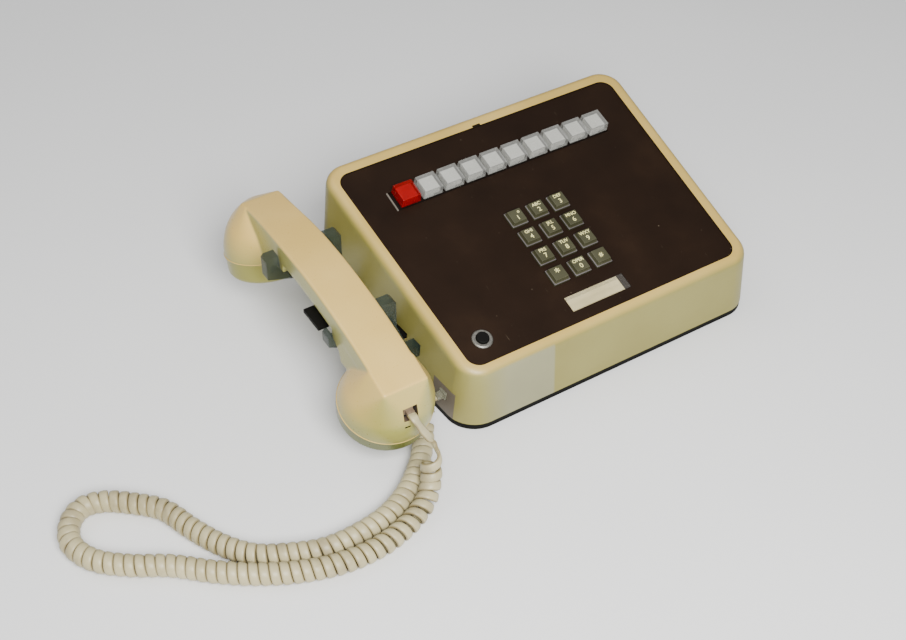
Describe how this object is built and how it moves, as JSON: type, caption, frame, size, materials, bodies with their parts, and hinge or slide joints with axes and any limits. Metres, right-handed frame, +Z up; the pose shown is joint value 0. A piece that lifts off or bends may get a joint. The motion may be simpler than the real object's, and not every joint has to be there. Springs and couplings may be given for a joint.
{
  "type": "desk telephone",
  "caption": "Wedge-shaped desk telephone with a row of square line keys, a push-button keypad, a handset hung in a side cradle and a curly cord.",
  "frame": {"origin": "middle of the floor under the body and the handset, without the cord; the desk is z = 0", "axes": "+X to the right of someone facing the keys, +Y to the back, +Z up"},
  "size_m": [0.5543, 0.2976, 0.1082],
  "materials": {
    "housing_beige": "fine matt grain",
    "handset_beige": "worn satin",
    "faceplate_brown": "matt with a fine grain",
    "key_olive": "satin",
    "key_white": "satin",
    "key_red": "gloss",
    "cap_clear": "clear gloss",
    "cap_red": "clear red gloss",
    "frame_light": "satin",
    "smoked": "smoked see-through gloss",
    "black_plastic": "satin black",
    "jack_grey": "satin",
    "metal": "worn plated metal",
    "rubber": "matt",
    "board": "lacquered board",
    "card": "paper",
    "window": "clear",
    "plug_clear": "clear gloss",
    "cord_beige": "satin soft plastic"
  },
  "bodies": {
    "base": {"housing": "housing_beige", "base_plate": "black_plastic", "rubber_feet": "rubber", "base_screws": "metal", "faceplate": "faceplate_brown", "line_key_frame": "frame_light", "keypad_frame": "black_plastic", "keypad_board": "board", "main_board": "board", "ringer": "black_plastic", "card_window": "window", "number_card": "card", "button_switch": "metal", "jack_plate": "jack_grey", "cradle_yoke_back": "smoked", "cradle_yoke_front": "smoked", "hook_switch": "metal", "base_plug": "plug_clear", "handset_cord": "cord_beige"},
    "handset": {"handset_shell": "handset_beige", "ear_cap": "handset_beige", "mouth_cap": "handset_beige", "receiver_unit": "metal", "transmitter_unit": "black_plastic", "handset_jack": "black_plastic", "handset_plug": "plug_clear"},
    "hook": {"hook_lever": "black_plastic"},
    "line_1": {"line_key_1": "key_red", "line_cap_1": "cap_red"},
    "line_2": {"line_key_2": "key_white", "line_cap_2": "cap_clear"},
    "line_3": {"line_key_3": "key_white", "line_cap_3": "cap_clear"},
    "line_4": {"line_key_4": "key_white", "line_cap_4": "cap_clear"},
    "line_5": {"line_key_5": "key_white", "line_cap_5": "cap_clear"},
    "line_6": {"line_key_6": "key_white", "line_cap_6": "cap_clear"},
    "line_7": {"line_key_7": "key_white", "line_cap_7": "cap_clear"},
    "line_8": {"line_key_8": "key_white", "line_cap_8": "cap_clear"},
    "line_9": {"line_key_9": "key_white", "line_cap_9": "cap_clear"},
    "line_10": {"line_key_10": "key_white", "line_cap_10": "cap_clear"},
    "digit_1": {"number_key_1": "key_olive"},
    "digit_2": {"number_key_2": "key_olive"},
    "digit_3": {"number_key_3": "key_olive"},
    "digit_4": {"number_key_4": "key_olive"},
    "digit_5": {"number_key_5": "key_olive"},
    "digit_6": {"number_key_6": "key_olive"},
    "digit_7": {"number_key_7": "key_olive"},
    "digit_8": {"number_key_8": "key_olive"},
    "digit_9": {"number_key_9": "key_olive"},
    "digit_10": {"number_key_10": "key_olive"},
    "digit_11": {"number_key_11": "key_olive"},
    "digit_12": {"number_key_12": "key_olive"},
    "button": {"push_button": "black_plastic"}
  },
  "joints": [
    {"name": "handset_lift", "type": "slide", "parent": "base", "child": "handset", "axis": [0, 0, 1], "range_m": [0, 0.08]},
    {"name": "hook_pivot", "type": "hinge", "parent": "base", "child": "hook", "pos_m": [-0.07701, -0.02219, 0.037], "axis": [0, 1, 0], "range_deg": [0, 3.4]},
    {"name": "line_1_press", "type": "slide", "parent": "base", "child": "line_1", "axis": [0, 0.2588, -0.9659], "range_m": [0, 0.004], "stiffness_N_per_m": 120, "springref_m": -0.005},
    {"name": "line_2_press", "type": "slide", "parent": "base", "child": "line_2", "axis": [0, 0.2588, -0.9659], "range_m": [0, 0.004], "stiffness_N_per_m": 120, "springref_m": -0.005},
    {"name": "line_3_press", "type": "slide", "parent": "base", "child": "line_3", "axis": [0, 0.2588, -0.9659], "range_m": [0, 0.004], "stiffness_N_per_m": 120, "springref_m": -0.005},
    {"name": "line_4_press", "type": "slide", "parent": "base", "child": "line_4", "axis": [0, 0.2588, -0.9659], "range_m": [0, 0.004], "stiffness_N_per_m": 120, "springref_m": -0.005},
    {"name": "line_5_press", "type": "slide", "parent": "base", "child": "line_5", "axis": [0, 0.2588, -0.9659], "range_m": [0, 0.004], "stiffness_N_per_m": 120, "springref_m": -0.005},
    {"name": "line_6_press", "type": "slide", "parent": "base", "child": "line_6", "axis": [0, 0.2588, -0.9659], "range_m": [0, 0.004], "stiffness_N_per_m": 120, "springref_m": -0.005},
    {"name": "line_7_press", "type": "slide", "parent": "base", "child": "line_7", "axis": [0, 0.2588, -0.9659], "range_m": [0, 0.004], "stiffness_N_per_m": 120, "springref_m": -0.005},
    {"name": "line_8_press", "type": "slide", "parent": "base", "child": "line_8", "axis": [0, 0.2588, -0.9659], "range_m": [0, 0.004], "stiffness_N_per_m": 120, "springref_m": -0.005},
    {"name": "line_9_press", "type": "slide", "parent": "base", "child": "line_9", "axis": [0, 0.2588, -0.9659], "range_m": [0, 0.004], "stiffness_N_per_m": 120, "springref_m": -0.005},
    {"name": "line_10_press", "type": "slide", "parent": "base", "child": "line_10", "axis": [0, 0.2588, -0.9659], "range_m": [0, 0.004], "stiffness_N_per_m": 120, "springref_m": -0.005},
    {"name": "digit_1_press", "type": "slide", "parent": "base", "child": "digit_1", "axis": [0, 0.2588, -0.9659], "range_m": [0, 0.0025], "stiffness_N_per_m": 180, "springref_m": -0.004},
    {"name": "digit_2_press", "type": "slide", "parent": "base", "child": "digit_2", "axis": [0, 0.2588, -0.9659], "range_m": [0, 0.0025], "stiffness_N_per_m": 180, "springref_m": -0.004},
    {"name": "digit_3_press", "type": "slide", "parent": "base", "child": "digit_3", "axis": [0, 0.2588, -0.9659], "range_m": [0, 0.0025], "stiffness_N_per_m": 180, "springref_m": -0.004},
    {"name": "digit_4_press", "type": "slide", "parent": "base", "child": "digit_4", "axis": [0, 0.2588, -0.9659], "range_m": [0, 0.0025], "stiffness_N_per_m": 180, "springref_m": -0.004},
    {"name": "digit_5_press", "type": "slide", "parent": "base", "child": "digit_5", "axis": [0, 0.2588, -0.9659], "range_m": [0, 0.0025], "stiffness_N_per_m": 180, "springref_m": -0.004},
    {"name": "digit_6_press", "type": "slide", "parent": "base", "child": "digit_6", "axis": [0, 0.2588, -0.9659], "range_m": [0, 0.0025], "stiffness_N_per_m": 180, "springref_m": -0.004},
    {"name": "digit_7_press", "type": "slide", "parent": "base", "child": "digit_7", "axis": [0, 0.2588, -0.9659], "range_m": [0, 0.0025], "stiffness_N_per_m": 180, "springref_m": -0.004},
    {"name": "digit_8_press", "type": "slide", "parent": "base", "child": "digit_8", "axis": [0, 0.2588, -0.9659], "range_m": [0, 0.0025], "stiffness_N_per_m": 180, "springref_m": -0.004},
    {"name": "digit_9_press", "type": "slide", "parent": "base", "child": "digit_9", "axis": [0, 0.2588, -0.9659], "range_m": [0, 0.0025], "stiffness_N_per_m": 180, "springref_m": -0.004},
    {"name": "digit_10_press", "type": "slide", "parent": "base", "child": "digit_10", "axis": [0, 0.2588, -0.9659], "range_m": [0, 0.0025], "stiffness_N_per_m": 180, "springref_m": -0.004},
    {"name": "digit_11_press", "type": "slide", "parent": "base", "child": "digit_11", "axis": [0, 0.2588, -0.9659], "range_m": [0, 0.0025], "stiffness_N_per_m": 180, "springref_m": -0.004},
    {"name": "digit_12_press", "type": "slide", "parent": "base", "child": "digit_12", "axis": [0, 0.2588, -0.9659], "range_m": [0, 0.0025], "stiffness_N_per_m": 180, "springref_m": -0.004},
    {"name": "button_press", "type": "slide", "parent": "base", "child": "button", "axis": [0, 0.2588, -0.9659], "range_m": [0, 0.002], "stiffness_N_per_m": 200, "springref_m": -0.004}
  ],
  "couplings": [
    {"joint": "hook_pivot", "follows": "handset_lift", "rad_per_m": 0.74}
  ]
}
